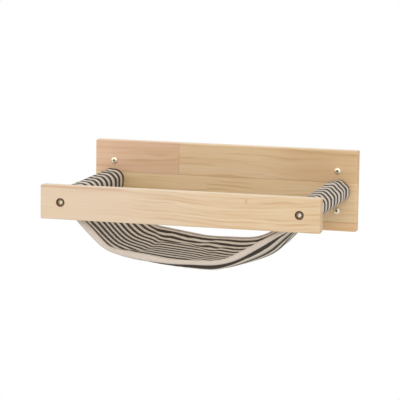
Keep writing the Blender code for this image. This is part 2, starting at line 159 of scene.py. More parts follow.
# Thickness of the wadding along the free edges: the place along X, and the thickness there. It
# is pinched where the edge bends sharply, where it hangs lowest and at the right seam.
EDGE_THICKNESS = (
    (-0.1785, 0.004),
    (-0.155, 0.0045),
    (-0.135, 0.0035),
    (-0.122, 0.0015),
    (-0.112, 0.002),
    (-0.095, 0.004),
    (-0.06, 0.004),
    (-0.03, 0.002),
    (0.005, 0.001),
    (0.065, 0.001),
    (0.092, 0.0035),
    (0.13, 0.0025),
    (0.15, 0.001),
    (0.1815, 0.001),
)

# The bed's middle surface in an X-Z section, as the control points of a smooth curve. The two
# free edges are stretched, and halfway between them the bed hangs lower.
FREE_EDGE = (
    LEFT_SEAM,
    (-0.1665, -0.031),
    (-0.146, -0.051),
    (-0.129, -0.0685),
    (-0.116, -0.076),
    (-0.092, -0.08),
    (-0.058, -0.0845),
    (-0.02, -0.089),
    (0.015, -0.087),
    (0.045, -0.0875),
    (0.074, -0.0825),
    (0.105, -0.0645),
    (0.136, -0.0455),
    (0.16, -0.0305),
    RIGHT_SEAM,
)
BELLY = (
    LEFT_SEAM,
    (-0.171, -0.038),
    (-0.152, -0.06),
    (-0.132, -0.08),
    (-0.116, -0.087),
    (-0.092, -0.092),
    (-0.058, -0.096),
    (-0.02, -0.099),
    (0.015, -0.1015),
    (0.046, -0.108),
    (0.076, -0.098),
    (0.106, -0.088),
    (0.134, -0.069),
    (0.144, -0.0475),
    RIGHT_SEAM,
)

# How much the bed sags at a share of the way back, as control points of a smooth curve: 0 is its
# free edge and 1 its belly
SAG = (
    (0.0, 0.0),
    (0.04, 0.12),
    (0.09, 0.47),
    (0.16, 0.6),
    (0.26, 0.75),
    (0.4, 0.89),
    (0.52, 1.0),
    (0.76, 0.9),
    (0.9, 0.55),
    (1.0, 0.0),
)

# Where the bed is fuller than that: at the front right, and steeply below the lowest stretch of
# the front edge. The moves are for the control points from the first one on, and they fade away
# from a share of the way back.
FULLER_PLACES = (
    {
        "first": 10,
        "moves": ((0.0, 0.0015), (0.0035, 0.0005), (0.0, -0.0075), (0.0065, -0.005)),
        "place": 0.24,
        "reach": 0.15,
    },
    {
        "first": 6,
        "moves": ((0.0, -0.001), (0.0, -0.0025), (0.0, -0.005), (0.0, -0.0035)),
        "place": 0.065,
        "reach": 0.045,
    },
)

# Grid of the bed, and how finely its curves are sampled
STEPS = 96
ROWS = 56
SPAN_SAMPLES = 40
SAG_SAMPLES = 200

# Binding tape
TAPE = 0.001
TAPE_EASE = 0.0006
TAPE_LAP = 0.005
TAPE_UNDER_LAP = 0.003
TAPE_BULGE = 0.0012
TAPE_FOLD_POINTS = 7

# Thread of the stitches on the tape's lap and of the quilting. It sinks by a share of its radius,
# and its row is counted on the grid from the edge.
STITCH_PITCH = 0.003
STITCH_LENGTH = 0.0021
STITCH_END = 0.12
STITCH_SIDES = 6
STITCH_RINGS = 5
LAP_RADIUS = 0.0003
LAP_SINK = 0.3
LAP_ROW = 0.3
QUILT_RADIUS = 0.0004
QUILT_SINK = 0.6
QUILT_ROW = 5.6
QUILT_ENDS = 5

# Rail: its knot, the dark strip at its upper left, its counterbores, whose walls get painted shade, and
# the bolts' sockets, whose floors get a painted reflection
KNOT = (0.1081, 0.0173)
KNOT_SIZE = (0.003, 0.0046)
TOP_STRIP_Z = 0.0245
TOP_STRIP_FADE = (-0.075, -0.105)
BORE_RADIUS = 0.007
SOCKET_RADIUS = 0.0029

# Staves of the back board: heights of the glue lines, and the joints within the rows
GLUE_LINES = (0.014, -0.052)
UPPER_JOINT_X = -0.079
LOWER_JOINT_X = -0.03

# Growth rings: the distance between them, and how far they sway
RAIL_RINGS = 0.0068
BOARD_RINGS = 0.0095
ARM_RINGS = 0.006
RING_SWAY = 0.042

# Yarns, and stripes along the cloth, which wander a little
YARN_PITCH = 0.0011
STRIPE_PERIOD = 0.0225
STRIPE_DARK = 0.0116
STRIPE_START = 0.0012
STRIPE_WANDER = 0.0007
WANDER_WAVES = 7
WANDER_TURN = 90.0

# On the bed the cloth is stretched along its bound edges: distance from the front edge, and the
# place on the flat cloth. Over the blend a sleeve's stripes turn to meet the bed's.
EDGE_DISTANCES = (0.0, 0.003, 0.0194, BED_WIDTH)
EDGE_FLAT_PLACES = (-0.001, 0.0012, 0.0128, 0.2494)
SLEEVE_BLEND = 0.03

# Colours, written as they look (sRGB)
RAIL_LEFT = (222, 199, 172)
RAIL_RIGHT = (222, 195, 159)
BOARD_MAIN = (230, 201, 158)
BOARD_PINK = (227, 190, 158)
BOARD_UPPER = (229, 199, 158)
BOARD_LOWER = (229, 190, 143)
STRIPE_LIGHT = (222, 212, 197)
STRIPE_BROWN = (50, 41, 34)
TAPE_CREAM = (218, 207, 195)


def srgb(colour):
    """A colour of 0 to 255 as linear values of 0 to 1, with alpha."""
    shares = [part / 255.0 for part in colour]
    linear = [s / 12.92 if s <= 0.04045 else ((s + 0.055) / 1.055) ** 2.4 for s in shares]
    return (*linear, 1.0)


class Nodes:
    """A material's node tree, with short calls for the nodes that the finishes here share."""

    def __init__(self, name):
        self.material = bpy.data.materials.new(name)
        self.material.use_nodes = True
        self.tree = self.material.node_tree
        self.shader = self.tree.nodes["Principled BSDF"]
        self.output = self.tree.nodes["Material Output"]

    def add(self, kind, inputs=(), **settings):
        made = self.tree.nodes.new(kind)
        for name, value in settings.items():
            setattr(made, name, value)
        for key, value in dict(inputs).items():
            self.feed(made.inputs[key], value)
        return made

    def feed(self, socket, value):
        if isinstance(value, bpy.types.NodeSocket):
            self.tree.links.new(value, socket)
        else:
            socket.default_value = value

    def maths(self, operation, a, b=0.0, c=0.0):
        return self.add("ShaderNodeMath", {0: a, 1: b, 2: c}, operation=operation).outputs[0]

    def plus(self, a, b):
        return self.maths("ADD", a, b)

    def minus(self, a, b):
        return self.maths("SUBTRACT", a, b)

    def times(self, a, b):
        return self.maths("MULTIPLY", a, b)

    def times_plus(self, a, b, c):
        return self.maths("MULTIPLY_ADD", a, b, c)

    def length(self, a, b):
        return self.maths("SQRT", self.times_plus(a, a, self.times(b, b)))

    def object_place(self):
        return self.add("ShaderNodeTexCoord").outputs["Object"]

    def flat_place(self):
        """Where a point lies on the cloth before it is hung, in metres."""
        return self.add("ShaderNodeAttribute", attribute_name="flat").outputs["Vector"]

    def noise(self, place, stretch, detail, roughness=0.5, shift=(0.0, 0.0, 0.0)):
        inputs = {"Vector": place, "Scale": stretch, "Location": shift}
        moved = self.add("ShaderNodeMapping", inputs).outputs["Vector"]
        inputs = {"Vector": moved, "Scale": 1.0, "Detail": detail, "Roughness": roughness}
        return self.add("ShaderNodeTexNoise", inputs).outputs["Fac"]

    def between(self, value, low, high, start=0.0, end=1.0):
        """Rises smoothly from start to end while the value goes from low to high."""
        inputs = {"Value": value, "From Min": low, "From Max": high, "To Min": start, "To Max": end}
        made = self.add("ShaderNodeMapRange", inputs, interpolation_type="SMOOTHSTEP")
        return made.outputs["Result"]

    def mix(self, share, a, b, blend="MIX"):
        made = self.add("ShaderNodeMix", data_type="RGBA", blend_type=blend)
        self.feed(made.inputs["Factor"], share)
        self.feed(made.inputs["A"], a)
        self.feed(made.inputs["B"], b)
        return made.outputs["Result"]

    def separate(self, vector):
        return self.add("ShaderNodeSeparateXYZ", {"Vector": vector}).outputs

    def combine(self, x, y, z):
        return self.add("ShaderNodeCombineXYZ", {"X": x, "Y": y, "Z": z}).outputs[0]

    def bump(self, height, distance, strength=1.0):
        inputs = {"Height": height, "Distance": distance, "Strength": strength}
        self.feed(self.shader.inputs["Normal"], self.add("ShaderNodeBump", inputs).outputs[0])

    def finish(self, colour, roughness, values=()):
        self.feed(self.shader.inputs["Base Color"], colour)
        self.feed(self.shader.inputs["Roughness"], roughness)
        for name, value in dict(values).items():
            self.shader.inputs[name].default_value = value
        return self.material


def wood_grain(nodes, place, seed, ring_pitch):
    """Long grain along X: (ring lines, broad bands, fine fibres, pores), each from 0 to 1."""
    x, y, z = nodes.separate(place)
    sway = nodes.noise(place, (4.5, 3.0, 12.0), 3.0, 0.45, (seed, seed, seed))
    sway = nodes.times(nodes.minus(sway, 0.5), RING_SWAY)
    depth = nodes.times(y, 0.6)
    height = nodes.plus(nodes.plus(z, depth), sway)
    ring = nodes.maths("FRACT", nodes.maths("DIVIDE", height, ring_pitch))
    late = nodes.times(nodes.between(ring, 0.35, 0.90), nodes.between(ring, 1.0, 0.93))
    fading = nodes.noise(place, (9.0, 40.0, 110.0), 2.0, 0.5, (seed, 0.0, seed))
    rings = nodes.times(late, nodes.between(fading, 0.40, 0.66))
    lifted = nodes.combine(x, y, height)
    bands = nodes.noise(lifted, (3.5, 60.0, 85.0), 3.0, 0.55, (seed * 3.0, 0.0, seed))
    fibres = nodes.noise(lifted, (16.0, 600.0, 800.0), 3.0, 0.6, (0.0, seed, 0.0))
    pores = nodes.noise(lifted, (110.0, 1500.0, 1900.0), 1.0, 0.4, (seed, 0.0, 0.0))
    return rings, bands, fibres, pores


def end_and_top_shares(nodes):
    """1 on a board's end faces, across the grain, and 1 on its faces that look up or down."""
    normal = nodes.add("ShaderNodeTexCoord").outputs["Normal"]
    x, _, z = nodes.separate(normal)
    return [nodes.between(nodes.maths("ABSOLUTE", part), 0.75, 0.95) for part in (x, z)]


def tinted(nodes, colour, tint):
    """The colour, darkened by a tint that white would leave as it is."""
    return nodes.mix(1.0, colour, srgb(tint), "MULTIPLY")


def wood_colour(nodes, place, base, grain, strength):
    """The base colour with warmer and yellower areas, late wood, light fibres and dark pores."""
    rings, bands, fibres, pores = grain
    area = nodes.noise(place, (7.0, 20.0, 26.0), 2.0)
    warm = nodes.between(area, 0.52, 0.75, 0.0, 0.35)
    colour = nodes.mix(warm, base, tinted(nodes, base, (255, 242, 232)))
    yellow = nodes.between(area, 0.48, 0.25, 0.0, 0.45)
    colour = nodes.mix(yellow, colour, tinted(nodes, base, (253, 252, 226)))
    broad = nodes.times(nodes.between(bands, 0.48, 0.70, 0.0, 0.55), strength)
    colour = nodes.mix(broad, colour, tinted(nodes, base, (238, 226, 210)))
    light = nodes.times(nodes.between(bands, 0.50, 0.28, 0.0, 0.24), strength)
    colour = nodes.mix(light, colour, srgb((240, 222, 194)))
    late = nodes.times(nodes.times(rings, 0.62), strength)
    colour = nodes.mix(late, colour, tinted(nodes, base, (224, 204, 180)))
    streak = nodes.times(nodes.between(fibres, 0.35, 0.65, 0.0, 0.16), strength)
    colour = nodes.mix(streak, colour, tinted(nodes, base, (216, 192, 164)))
    speck = nodes.between(pores, 0.66, 0.80, 0.0, 0.20)
    return nodes.mix(speck, colour, tinted(nodes, base, (176, 140, 108)))


def finish_wood(nodes, colour, grain, rough):
    """Tinted ends, painted light on the faces that look up or down, the relief of the grain, and a thin
    coat over wood of this roughness.
    """
    rings, _, fibres, pores = grain
    ends, painted_top_light = end_and_top_shares(nodes)
    colour = nodes.mix(ends, colour, tinted(nodes, colour, (250, 242, 228)))
    # Painted light: faces that look up or down are coloured paler, standing in for the light from above.
    colour = nodes.mix(nodes.times(painted_top_light, 0.6), colour, srgb((242, 222, 194)))
    height = nodes.times_plus(pores, -0.6, nodes.times_plus(rings, 0.3, fibres))
    nodes.bump(height, 0.00010, 0.5)
    roughness = nodes.between(fibres, 0.3, 0.7, rough - 0.05, rough + 0.08)
    return nodes.finish(colour, roughness, {"Coat Weight": 0.10, "Coat Roughness": 0.4})


def from_screw_axis(nodes, place, height):
    """Distance from the nearest screw that is this far above or below an arm's middle."""
    x, _, z = nodes.separate(place)
    aside = nodes.minus(nodes.maths("ABSOLUTE", x), ARM_X)
    above = nodes.minus(nodes.maths("ABSOLUTE", z), height)
    return nodes.length(aside, above)


def knot_share(nodes, x, z):
    """1 in the middle of the small knot, falling to 0 around it."""
    dx = nodes.maths("DIVIDE", nodes.minus(x, KNOT[0]), KNOT_SIZE[0])
    dz = nodes.maths("DIVIDE", nodes.minus(z, KNOT[1]), KNOT_SIZE[1])
    across = nodes.times_plus(dx, dx, nodes.times(dz, dz))
    return nodes.between(across, 1.0, 0.1)


def rail_wood():
    """Paler and calmer wood towards the left, with a knot, and painted shade in reddish brown on the walls
    of the counterbores round the bolts.
    """
    nodes = Nodes("rail_wood")
    place = nodes.object_place()
    x, _, z = nodes.separate(place)
    grain = wood_grain(nodes, place, 3.1, RAIL_RINGS)
    base = nodes.mix(nodes.between(x, -0.13, 0.12), srgb(RAIL_LEFT), srgb(RAIL_RIGHT))
    calm = nodes.between(x, -0.15, 0.05, 0.25, 1.15)
    colour = wood_colour(nodes, place, base, grain, calm)
    knot = nodes.times(knot_share(nodes, x, z), 0.60)
    colour = nodes.mix(knot, colour, srgb((205, 158, 100)))
    edge = nodes.noise(place, (22.0, 60.0, 160.0), 2.0)
    top = nodes.times_plus(edge, 0.006, nodes.minus(z, TOP_STRIP_Z))
    strip = nodes.times(nodes.between(top, 0.0, 0.002), nodes.between(x, *TOP_STRIP_FADE))
    colour = nodes.mix(strip, colour, srgb((209, 175, 146)))
    # Painted shade: the counterbores' walls are coloured reddish brown for the shade inside them.
    painted_bore_shade = nodes.between(from_screw_axis(nodes, place, 0.0), BORE_RADIUS + 0.0004, BORE_RADIUS)
    colour = nodes.mix(nodes.times(painted_bore_shade, 0.8), colour, srgb((166, 108, 74)))
    return finish_wood(nodes, colour, grain, 0.48)


def board_wood():
    """Edge-glued staves in three rows. Each row has its own tone, and a far shift gives each stave
    its own grain."""
    nodes = Nodes("board_wood")
    x, y, z = nodes.separate(nodes.object_place())
    upper = nodes.maths("GREATER_THAN", z, GLUE_LINES[0])
    lower = nodes.maths("LESS_THAN", z, GLUE_LINES[1])
    upper_left = nodes.times(upper, nodes.maths("LESS_THAN", x, UPPER_JOINT_X))
    lower_left = nodes.maths("LESS_THAN", nodes.times_plus(upper, 9.0, x), LOWER_JOINT_X)
    shift = nodes.times_plus(upper, 7.0, nodes.times(lower, 15.0))
    shift = nodes.plus(shift, nodes.times(upper_left, 4.0))
    shift = nodes.plus(shift, nodes.times(lower_left, 2.5))
    moved = nodes.combine(nodes.plus(x, shift), y, nodes.plus(z, shift))
    grain = wood_grain(nodes, moved, 5.7, BOARD_RINGS)
    base = nodes.mix(upper, srgb(BOARD_MAIN), srgb(BOARD_UPPER))
    base = nodes.mix(upper_left, base, srgb(BOARD_PINK))
    base = nodes.mix(lower, base, srgb(BOARD_LOWER))
    colour = wood_colour(nodes, moved, base, grain, 0.85)
    upper_right = nodes.times(upper, nodes.between(x, 0.05, 0.17, 0.0, 0.8))
    colour = nodes.mix(upper_right, colour, tinted(nodes, colour, (238, 230, 218)))
    lines = [nodes.maths("ABSOLUTE", nodes.minus(z, line)) for line in GLUE_LINES]
    glue = nodes.maths("MINIMUM", lines[0], lines[1])
    joint = nodes.maths("ABSOLUTE", nodes.minus(x, UPPER_JOINT_X))
    joint = nodes.plus(joint, nodes.minus(1.0, upper))
    glue = nodes.between(nodes.maths("MINIMUM", glue, joint), 0.0008, 0.0001, 0.0, 0.55)
    colour = nodes.mix(glue, colour, srgb((176, 134, 92)))
    return finish_wood(nodes, colour, grain, 0.5)


def arm_wood():
    """Plain wood, with its grain along the arm."""
    nodes = Nodes("arm_wood")
    place = nodes.object_place()
    turned = nodes.add("ShaderNodeVectorRotate", {"Vector": place, "Angle": math.radians(90)}).outputs[0]
    grain = wood_grain(nodes, turned, 8.4, ARM_RINGS)
    colour = wood_colour(nodes, turned, srgb((222, 192, 152)), grain, 1.0)
    fibres = grain[2]
    nodes.bump(fibres, 0.0001, 0.5)
    return nodes.finish(colour, nodes.between(fibres, 0.3, 0.7, 0.55, 0.65))


def smeared(nodes, place, scale, colour, worn):
    """Faint smears, from 0 to 1, and the colour of the metal with them."""
    smear = nodes.noise(place, (scale, scale, scale), 3.0, 0.6)
    return smear, nodes.mix(nodes.between(smear, 0.35, 0.70), srgb(colour), srgb(worn))


def metal(name, colour, worn, roughness):
    """Plated steel or brass with faint smears and small scratches."""
    nodes = Nodes(name)
    place = nodes.object_place()
    smear, tint = smeared(nodes, place, 260.0, colour, worn)
    scratch = nodes.noise(place, (300.0, 4000.0, 1800.0), 2.0, 0.6)
    rough = nodes.between(smear, 0.3, 0.7, roughness - 0.06, roughness + 0.10)
    nodes.bump(scratch, 0.00002, 0.35)
    return nodes.finish(tint, rough, {"Metallic": 1.0})


def bolt_metal():
    """Dark plated steel, with a painted reflection: the socket's floor is painted near white, as if it
    caught the light.
    """
    nodes = Nodes("bolt_steel")
    place = nodes.object_place()
    smear, dark = smeared(nodes, place, 500.0, (128, 106, 78), (168, 148, 118))
    radius = from_screw_axis(nodes, place, 0.0)
    # Painted reflection: the socket's floor is coloured near white, standing in for the light it reflects.
    painted_socket_reflection = nodes.between(radius, SOCKET_RADIUS, SOCKET_RADIUS - 0.0006)
    colour = nodes.mix(painted_socket_reflection, dark, srgb((240, 236, 224)))
    rough = nodes.between(smear, 0.3, 0.7, 0.26, 0.40)
    nodes.bump(smear, 0.00003, 0.4)
    return nodes.finish(colour, rough, {"Metallic": 1.0})


def wall_screw_metal():
    """Pale yellow plating, with painted shade, dark brown, inside the cross recess."""
    nodes = Nodes("gilt_steel")
    place = nodes.object_place()
    radius = from_screw_axis(nodes, place, WALL_SCREW_OFFSET)
    share = nodes.maths("MINIMUM", nodes.maths("DIVIDE", radius, SCREW_HEAD), 1.0)
    round_off = nodes.maths("SQRT", nodes.minus(1.0, nodes.times(share, share)))
    dome = nodes.times_plus(round_off, -SCREW_DOME, SCREW_RIM_Y)
    depth = nodes.minus(nodes.separate(place)[1], dome)
    floor = nodes.between(depth, RECESS_DEPTH, RECESS_DEPTH - 0.0004)
    sunk = nodes.times(nodes.between(depth, 0.00012, 0.0004), floor)
    rim = nodes.between(radius, RECESS_RADIUS, RECESS_RADIUS - 0.0002)
    # Painted shade: the cross recess is coloured dark brown for the shade inside it.
    recess = nodes.times(sunk, rim)
    smear, tint = smeared(nodes, place, 260.0, (240, 228, 200), (248, 240, 220))
    tint = nodes.mix(recess, tint, srgb((126, 98, 68)))
    rough = nodes.between(smear, 0.3, 0.7, 0.38, 0.52)
    nodes.bump(smear, 0.00002, 0.35)
    return nodes.finish(tint, rough, {"Metallic": 1.0})


def weave(nodes, flat):
    """Height of a plain weave, from 0 to 1."""
    x, y, _ = nodes.separate(flat)
    wobble = nodes.noise(flat, (260.0, 260.0, 0.0), 1.0)
    turn = math.pi / YARN_PITCH
    across = nodes.maths("SINE", nodes.times_plus(x, turn, nodes.times(wobble, 2.0)))
    along = nodes.maths("SINE", nodes.times_plus(y, turn, nodes.times(wobble, 2.0)))
    crossing = nodes.times(across, along)
    return nodes.times_plus(crossing, 0.5, 0.5)


def stripe_share(nodes, flat):
    """1 in the dark stripes that run along X, with yarns that stray over their edges."""
    y = nodes.separate(flat)[1]
    ragged = nodes.noise(flat, (900.0, 300.0, 0.0), 2.0)
    place = nodes.times_plus(ragged, 0.0008, nodes.minus(y, STRIPE_START))
    period = nodes.maths("FRACT", nodes.maths("DIVIDE", place, STRIPE_PERIOD))
    half = 0.5 * STRIPE_DARK / STRIPE_PERIOD
    from_middle = nodes.maths("ABSOLUTE", nodes.minus(period, half))
    nearest = nodes.maths("MINIMUM", from_middle, nodes.minus(1.0, from_middle))
    return nodes.between(nearest, half + 0.016, half - 0.016)


def cloth_material(name, striped):
    """Woven cotton, plain cream or with dark stripes along X, from its flat measures."""
    nodes = Nodes(name)
    flat = nodes.flat_place()
    threads = weave(nodes, flat)
    slub = nodes.noise(flat, (30.0, 1400.0, 0.0), 3.0, 0.6)
    weft = nodes.noise(flat, (1400.0, 40.0, 0.0), 2.0, 0.6)
    patch = nodes.noise(flat, (16.0, 16.0, 0.0), 2.0)
    light = srgb(STRIPE_LIGHT if striped else TAPE_CREAM)
    shade = tinted(nodes, light, (220, 211, 200))
    colour = nodes.mix(nodes.between(slub, 0.35, 0.70, 0.0, 0.40), light, shade)
    colour = nodes.mix(nodes.between(weft, 0.40, 0.72, 0.0, 0.30), colour, shade)
    if striped:
        brown = nodes.mix(nodes.between(slub, 0.35, 0.70), srgb(STRIPE_BROWN), srgb((68, 56, 47)))
        fleck = nodes.between(weft, 0.62, 0.80, 0.0, 0.20)
        brown = nodes.mix(fleck, brown, srgb((120, 106, 92)))
        colour = nodes.mix(stripe_share(nodes, flat), colour, brown)
    worn = nodes.between(patch, 0.3, 0.7, 0.0, 0.10)
    colour = nodes.mix(worn, colour, tinted(nodes, colour, (214, 206, 196)))
    height = nodes.times_plus(slub, 0.5, threads)
    nodes.bump(height, 0.00022, 0.8)
    values = {"Sheen Weight": 0.08, "Sheen Roughness": 0.5, "Specular IOR Level": 0.2}
    return nodes.finish(colour, 0.92, values)


def thread_material(name, colour):
    nodes = Nodes(name)
    place = nodes.object_place()
    twist = nodes.noise(place, (3000.0, 3000.0, 3000.0), 1.0)
    dark = tinted(nodes, srgb(colour), (190, 182, 172))
    tint = nodes.mix(nodes.between(twist, 0.35, 0.65), srgb(colour), dark)
    nodes.bump(twist, 0.0001, 0.6)
    return nodes.finish(tint, 0.7)


def lengths_along(points, axis=0):
    """How far each point lies along its line, or along its line of a grid."""
    steps = np.diff(points, axis=axis, prepend=points.take([0], axis))
    return np.cumsum(np.linalg.norm(steps, axis=-1), axis=axis)


def unit(vectors):
    """The vectors, made 1 long."""
    return vectors / np.linalg.norm(vectors, axis=-1, keepdims=True)


def smooth_curve(control, count):
    """Points along a uniform cubic B-spline that starts and ends at its outer control points,
    the same distance apart."""
    control = np.array([control[0]] * 2 + list(control) + [control[-1]] * 2)
    spans = len(control) - 3
    places = np.linspace(0.0, spans - 1e-6, SPAN_SAMPLES * spans)
    first = places.astype(int)
    f = (places - first)[:, None]
    curve = (
        control[first] * (1 - f) ** 3
        + control[first + 1] * (3 * f**3 - 6 * f**2 + 4)
        + control[first + 2] * (-3 * f**3 + 3 * f**2 + 3 * f + 1)
        + control[first + 3] * f**3
    ) / 6
    along = lengths_along(curve)
    even = np.linspace(0.0, along[-1], count)
    return np.stack([np.interp(even, along, curve[:, axis]) for axis in (0, 1)], axis=-1)


class Bed:
    """The bed's middle surface and its thickness, on a grid of steps across and rows back."""

    def __init__(self, rail_back, board_front):
        self.front = rail_back + SLEEVE_END
        self.rear = board_front - SLEEVE_END
        self.across = np.linspace(0.0, 1.0, STEPS + 1)
        self.back = np.linspace(0.0, 1.0, ROWS + 1)
        sag = smooth_curve(SAG, SAG_SAMPLES)
        share = np.interp(self.back, sag[:, 0], sag[:, 1])
        sections = []
        for part, back in zip(share, self.back):
            control = np.array(FREE_EDGE) * (1 - part) + np.array(BELLY) * part
            for fuller in FULLER_PLACES:
                first, place = fuller["first"], fuller["place"]
                moves = np.array(fuller["moves"])
                near = math.exp(-(((back - place) / fuller["reach"]) ** 2))
                control[first : first + len(moves)] += near * min(2.0 * back / place, 1.0) * moves
            sections.append(smooth_curve(control, STEPS + 1))
        self.section = np.stack(sections, axis=1)
        along = unit(np.gradient(self.section, axis=0))
        self.normal = np.stack([-along[..., 1], along[..., 0]], axis=-1)
        draw = EDGE_DRAW * np.sin(math.pi * self.across)[:, None]
        front = self.front + draw
        rear = self.rear - draw
        self.y = front + (rear - front) * self.back[None, :]

    def half_thickness(self):
        """Half of the wadding's thickness: thin at the seams and along the free edges."""
        from_seam = np.minimum(self.across, 1.0 - self.across)[:, None]
        rise = np.minimum(from_seam / WADDING_TAPER, 1.0)
        crown = 1.0 - (2.0 * self.back[None, :] - 1.0) ** WADDING_CROWN_POWER
        places, thicknesses = zip(*EDGE_THICKNESS)
        edge = np.interp(self.section[:, :1, 0], places, thicknesses)
        full = edge + (WADDING_MIDDLE - edge) * crown
        return full / 2 * rise * (2.0 - rise)

    def layer(self, side, depth):
        """Points this far outside the wadding: side is 1 above it and -1 below it."""
        reach = side * (self.half_thickness() + depth)
        x = self.section[..., 0] + reach * self.normal[..., 0]
        z = self.section[..., 1] + reach * self.normal[..., 1]
        return np.stack([x, self.y, z], axis=-1)


def grid_normals(points):
    """Unit normals of a grid of points, on the side of (first axis) x (second axis)."""
    return unit(np.cross(np.gradient(points, axis=0), np.gradient(points, axis=1)))


def new_piece(name, vertices, faces, material, flat=None):
    """A smooth-shaded object, with each point's place on the flat cloth where there is one."""
    mesh = bpy.data.meshes.new(name)
    mesh.from_pydata([tuple(v) for v in vertices], [], faces)
    mesh.update()
    mesh.shade_smooth()
    mesh.materials.append(material)
    if flat is not None:
        layer = mesh.attributes.new("flat", "FLOAT_VECTOR", "POINT")
        layer.data.foreach_set("vector", np.asarray(flat, np.float32).ravel())
    piece = bpy.data.objects.new(name, mesh)
    bpy.context.scene.collection.objects.link(piece)
    return piece


def grid_faces(lines, rows, start=0, flip=False):
    """Four-sided faces over a grid whose points are numbered line by line from start."""
    faces = []
    for i in range(lines - 1):
        for j in range(rows - 1):
            a = start + i * rows + j
            face = (a, a + rows, a + rows + 1, a + 1)
            faces.append(face[::-1] if flip else face)
    return faces


def closed_sheet(name, outer, inner, material, flat_outer, flip=False):
    """A closed piece of cloth between two grids of points. The outer one's normals point out."""
    lines, rows = outer.shape[:2]
    count = lines * rows
    faces = grid_faces(lines, rows, 0, flip) + grid_faces(lines, rows, count, not flip)
    rims = []
    for i in range(lines - 1):
        rims += [(i * rows + j, rows, turn) for j, turn in ((0, flip), (rows - 1, not flip))]
    for j in range(rows - 1):
        rims += [(i * rows + j, 1, turn) for i, turn in ((0, not flip), (lines - 1, flip))]
    for a, step, turn in rims:
        face = (a, a + count, a + step + count, a + step)
        faces.append(face[::-1] if turn else face)
    points = np.concatenate([outer.reshape(-1, 3), inner.reshape(-1, 3)])
    flat = np.concatenate([flat_outer.reshape(-1, 3)] * 2)
    return new_piece(name, points, faces, material, flat)


def flat_grid(across, back):
    """Places on the flat cloth as points."""
    return np.stack([across, back, np.zeros_like(across)], axis=-1)


def soften(piece):
    """One subdivision, applied, so that the mesh itself is the smooth one."""
    modifier = piece.modifiers.new("soften", "SUBSURF")
    modifier.levels = 1
    modifier.render_levels = 1
    graph = bpy.context.evaluated_depsgraph_get()
    mesh = bpy.data.meshes.new_from_object(piece.evaluated_get(graph))
    piece.modifiers.clear()
    piece.data = mesh
    mesh.shade_smooth()


def simulated(top, bottom):
    """The bed's two faces after its cloth has been filled: a cloth simulation with pressure,
    held at the seams and along the bound edges."""
    lines, rows = top.shape[:2]
    count = lines * rows
    faces = grid_faces(lines, rows) + grid_faces(lines, rows, count, True)
    edge = [i * rows for i in range(lines)] + [(lines - 1) * rows + j for j in range(1, rows)]
    edge += [i * rows + rows - 1 for i in range(lines - 2, -1, -1)] + list(range(rows - 2, 0, -1))
    for near, far in zip(edge, edge[1:] + edge[:1]):
        faces.append((near + count, far + count, far, near))
    material = bpy.data.materials.new("filling")
    points = np.concatenate([top.reshape(-1, 3), bottom.reshape(-1, 3)])
    body = new_piece("filling", points, faces, material)
    i, j = np.meshgrid(np.arange(lines), np.arange(rows), indexing="ij")
    from_seam = np.minimum(i, lines - 1 - i)
    from_edge = np.minimum(j, rows - 1 - j)
    held = ((from_seam < HELD_LINES) | (from_edge < HELD_ROWS)).ravel()
    group = body.vertex_groups.new(name="held")
    for index in np.flatnonzero(np.concatenate([held, held])):
        group.add([int(index)], 1.0, "REPLACE")
    cloth = body.modifiers.new("cloth", "CLOTH")
    settings = cloth.settings
    settings.vertex_group_mass = "held"
    for name, value in FILL_SETTINGS.items():
        setattr(settings, name, value)
    settings.effector_weights.gravity = 0.0
    cloth.collision_settings.use_collision = False
    scene = bpy.context.scene
    cloth.point_cache.frame_start = 1
    cloth.point_cache.frame_end = FILL_FRAMES
    for frame in range(1, FILL_FRAMES + 1):
        scene.frame_set(frame)
    graph = bpy.context.evaluated_depsgraph_get()
    filled = body.evaluated_get(graph).to_mesh()
    moved = np.empty(len(filled.vertices) * 3)
    filled.vertices.foreach_get("co", moved)
    moved = moved.reshape(2, lines, rows, 3)
    scene.frame_set(1)
    bpy.data.objects.remove(body)
    bpy.data.materials.remove(material)
    return moved[0], moved[1]


def capped(start, moved, cap):
    """The moved points, none further than the cap from where it started."""
    shift = moved - start
    length = np.linalg.norm(shift, axis=-1, keepdims=True)
    return start + shift * cap / (cap + length)


def rounded_square(half, corner, steps):
    """(x, z) points round a square with rounded corners, anticlockwise from the lower right."""
    middle = half - corner
    points = []
    for quarter, (sx, sz) in enumerate(((1, -1), (1, 1), (-1, 1), (-1, -1))):
        start = math.radians(-90 + 90 * quarter)
        for step in range(steps + 1):
            angle = start + math.pi / 2 * step / steps
            points.append((sx * middle + corner * math.cos(angle), sz * middle + corner * math.sin(angle)))
    return np.array(points)


def sleeve_line(arm_x, seam, tail_first):
    """The cloth's inner face round an arm, in an X-Z section, from one side of the seam to the
    other, anticlockwise. Its tail leaves the arm and ends just above the seam."""
    half = ARM_SIZE / 2 + SLEEVE_EASE
    around = rounded_square(half, ARM_EDGE + SLEEVE_EASE, CORNER_STEPS)
    seam_x = seam[0] - arm_x
    seam_angle = math.atan2(seam[1], seam_x)
    turn = (np.arctan2(around[:, 1], around[:, 0]) - seam_angle) % math.tau
    keep = (turn > SEAM_OPENING) & (turn < math.tau - SEAM_OPENING)
    around = around[keep][np.argsort(turn[keep])]
    tail = np.array([[seam_x, seam[1] + SEAM_TAIL]])
    around = np.concatenate([tail, around] if tail_first else [around, tail])
    along = lengths_along(around)
    even = np.linspace(0.0, along[-1], SLEEVE_STEPS)
    x = arm_x + np.interp(even, along, around[:, 0])
    z = np.interp(even, along, around[:, 1])
    return np.stack([x, z], axis=-1)


